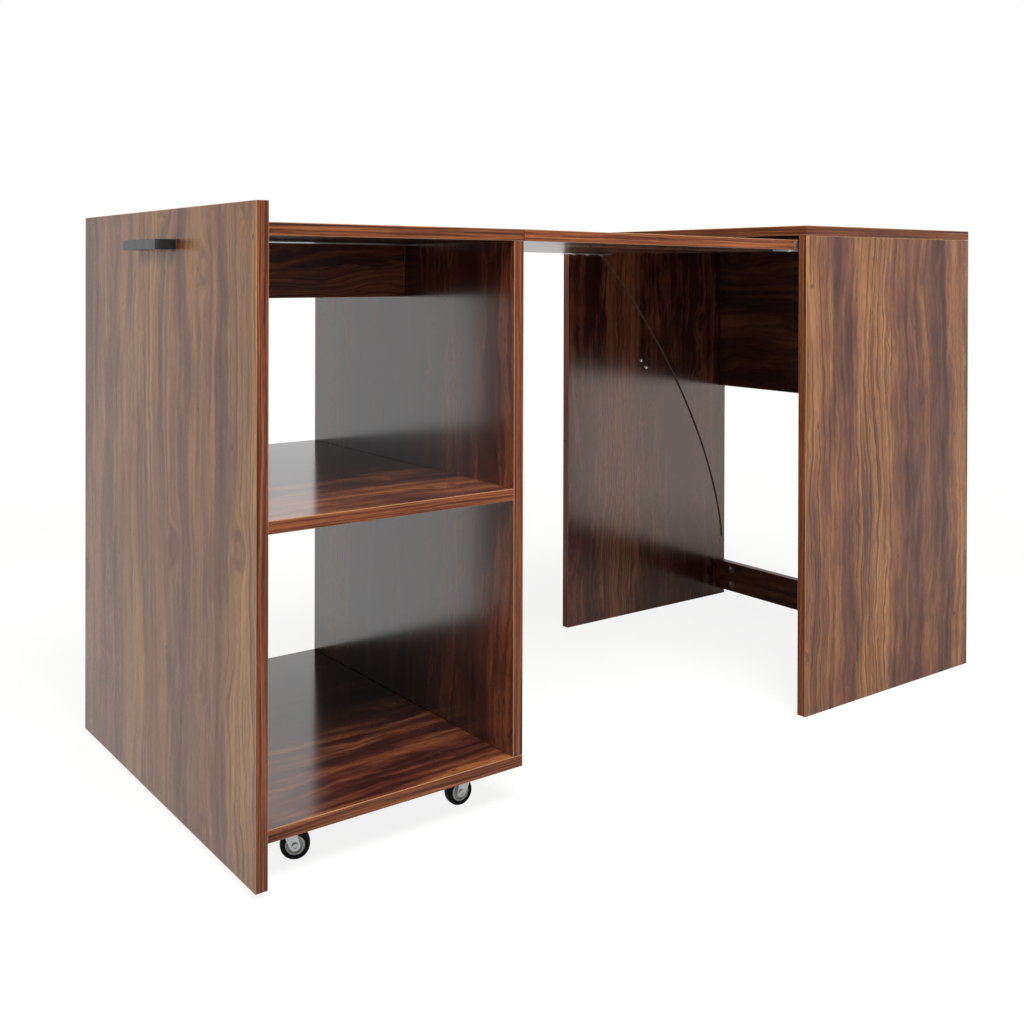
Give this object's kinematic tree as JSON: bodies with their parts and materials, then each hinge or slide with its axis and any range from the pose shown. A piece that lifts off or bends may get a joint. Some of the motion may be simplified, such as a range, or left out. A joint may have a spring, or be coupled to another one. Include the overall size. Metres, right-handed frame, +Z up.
{
  "type": "pull-out computer desk",
  "caption": "Walnut computer desk whose shelf cabinet on casters pulls out of a fixed carcass and opens a folding desk board between them.",
  "frame": {"origin": "on the floor, under the middle of the open desk's bounding box", "axes": "+X along the pull-out direction from the cabinet's fascia to the carcass's back, +Y from the near side panel (nearest the camera in the picture) to the far one, +Z up"},
  "size_m": [1.355, 0.584, 0.755],
  "materials": {
    "walnut_laminate": "semi-gloss walnut melamine with vertical grain",
    "zinc_steel": "bright zinc-plated pressed steel",
    "black_metal": "satin black paint",
    "black_tyre": "matte black rubber",
    "grey_hub": "light grey moulded plastic",
    "white_cap": "white satin screw heads"
  },
  "bodies": {
    "frame": {"near_side_panel": "walnut_laminate", "far_side_panel": "walnut_laminate", "fixed_top": "walnut_laminate", "modesty_panel": "walnut_laminate", "rear_rail": "walnut_laminate", "cam_lock_near_lower": "zinc_steel", "cam_bolt_near_lower": "zinc_steel", "cam_lock_near_upper": "zinc_steel", "cam_bolt_near_upper": "zinc_steel", "cam_lock_far_lower": "zinc_steel", "cam_bolt_far_lower": "zinc_steel", "cam_lock_far_upper": "zinc_steel", "cam_bolt_far_upper": "zinc_steel", "panel_screw_upper": "white_cap", "panel_screw_lower": "white_cap"},
    "cabinet": {"fascia": "walnut_laminate", "cabinet_top": "walnut_laminate", "cabinet_bottom": "walnut_laminate", "cabinet_shelf": "walnut_laminate", "cabinet_end_panel": "walnut_laminate", "cabinet_apron": "walnut_laminate", "handle": "black_metal", "handle_screw_near": "zinc_steel", "handle_screw_far": "zinc_steel", "hinge_fixed_leaf_1": "zinc_steel", "hinge_pin_1": "zinc_steel", "hinge_fixed_leaf_2": "zinc_steel", "hinge_pin_2": "zinc_steel", "hinge_fixed_leaf_3": "zinc_steel", "hinge_pin_3": "zinc_steel", "caster_plate_near_outer": "zinc_steel", "caster_plate_near_inner": "zinc_steel", "caster_plate_far_outer": "zinc_steel", "caster_plate_far_inner": "zinc_steel"},
    "desk_board": {"desk_board": "walnut_laminate", "board_bracket_near": "zinc_steel", "guide_pin_near": "zinc_steel", "board_bracket_far": "zinc_steel", "guide_pin_far": "zinc_steel", "hinge_board_leaf_1": "zinc_steel", "hinge_board_leaf_2": "zinc_steel", "hinge_board_leaf_3": "zinc_steel"},
    "caster_swivel_near_outer": {"caster_fork_near_outer": "zinc_steel", "caster_axle_near_outer": "zinc_steel"},
    "caster_wheel_near_outer": {"caster_hub_near_outer": "grey_hub", "caster_tyre_near_outer": "black_tyre"},
    "caster_swivel_near_inner": {"caster_fork_near_inner": "zinc_steel", "caster_axle_near_inner": "zinc_steel"},
    "caster_wheel_near_inner": {"caster_hub_near_inner": "grey_hub", "caster_tyre_near_inner": "black_tyre"},
    "caster_swivel_far_outer": {"caster_fork_far_outer": "zinc_steel", "caster_axle_far_outer": "zinc_steel"},
    "caster_wheel_far_outer": {"caster_hub_far_outer": "grey_hub", "caster_tyre_far_outer": "black_tyre"},
    "caster_swivel_far_inner": {"caster_fork_far_inner": "zinc_steel", "caster_axle_far_inner": "zinc_steel"},
    "caster_wheel_far_inner": {"caster_hub_far_inner": "grey_hub", "caster_tyre_far_inner": "black_tyre"}
  },
  "joints": [
    {"name": "cabinet_slide", "type": "slide", "parent": "frame", "child": "cabinet", "axis": [1, 0, 0], "range_m": [0, 0.8855]},
    {"name": "board_fold", "type": "hinge", "parent": "cabinet", "child": "desk_board", "pos_m": [-0.2745, 0, 0.7146], "axis": [0, 1, 0], "range_deg": [0, 84.98]},
    {"name": "caster_swivel_near_outer", "type": "hinge", "parent": "cabinet", "child": "caster_swivel_near_outer", "pos_m": [-0.5815, -0.2235, 0], "axis": [0, 0, 1], "continuous": true},
    {"name": "caster_spin_near_outer", "type": "hinge", "parent": "caster_swivel_near_outer", "child": "caster_wheel_near_outer", "pos_m": [-0.57341, -0.22745, 0.0175], "axis": [0.4384, 0.8988, 0], "continuous": true},
    {"name": "caster_swivel_near_inner", "type": "hinge", "parent": "cabinet", "child": "caster_swivel_near_inner", "pos_m": [-0.3335, -0.2235, 0], "axis": [0, 0, 1], "continuous": true},
    {"name": "caster_spin_near_inner", "type": "hinge", "parent": "caster_swivel_near_inner", "child": "caster_wheel_near_inner", "pos_m": [-0.34247, -0.22272, 0.0175], "axis": [-0.0872, -0.9962, 0], "continuous": true},
    {"name": "caster_swivel_far_outer", "type": "hinge", "parent": "cabinet", "child": "caster_swivel_far_outer", "pos_m": [-0.5815, 0.2175, 0], "axis": [0, 0, 1], "continuous": true},
    {"name": "caster_spin_far_outer", "type": "hinge", "parent": "caster_swivel_far_outer", "child": "caster_wheel_far_outer", "pos_m": [-0.57277, 0.21968, 0.0175], "axis": [-0.2419, 0.9703, 0], "continuous": true},
    {"name": "caster_swivel_far_inner", "type": "hinge", "parent": "cabinet", "child": "caster_swivel_far_inner", "pos_m": [-0.3335, 0.2175, 0], "axis": [0, 0, 1], "continuous": true},
    {"name": "caster_spin_far_inner", "type": "hinge", "parent": "caster_swivel_far_inner", "child": "caster_wheel_far_inner", "pos_m": [-0.3423, 0.21937, 0.0175], "axis": [-0.2079, -0.9781, 0], "continuous": true}
  ],
  "couplings": [
    {"joint": "board_fold", "follows": "cabinet_slide", "rad_per_m": 1.6747}
  ]
}
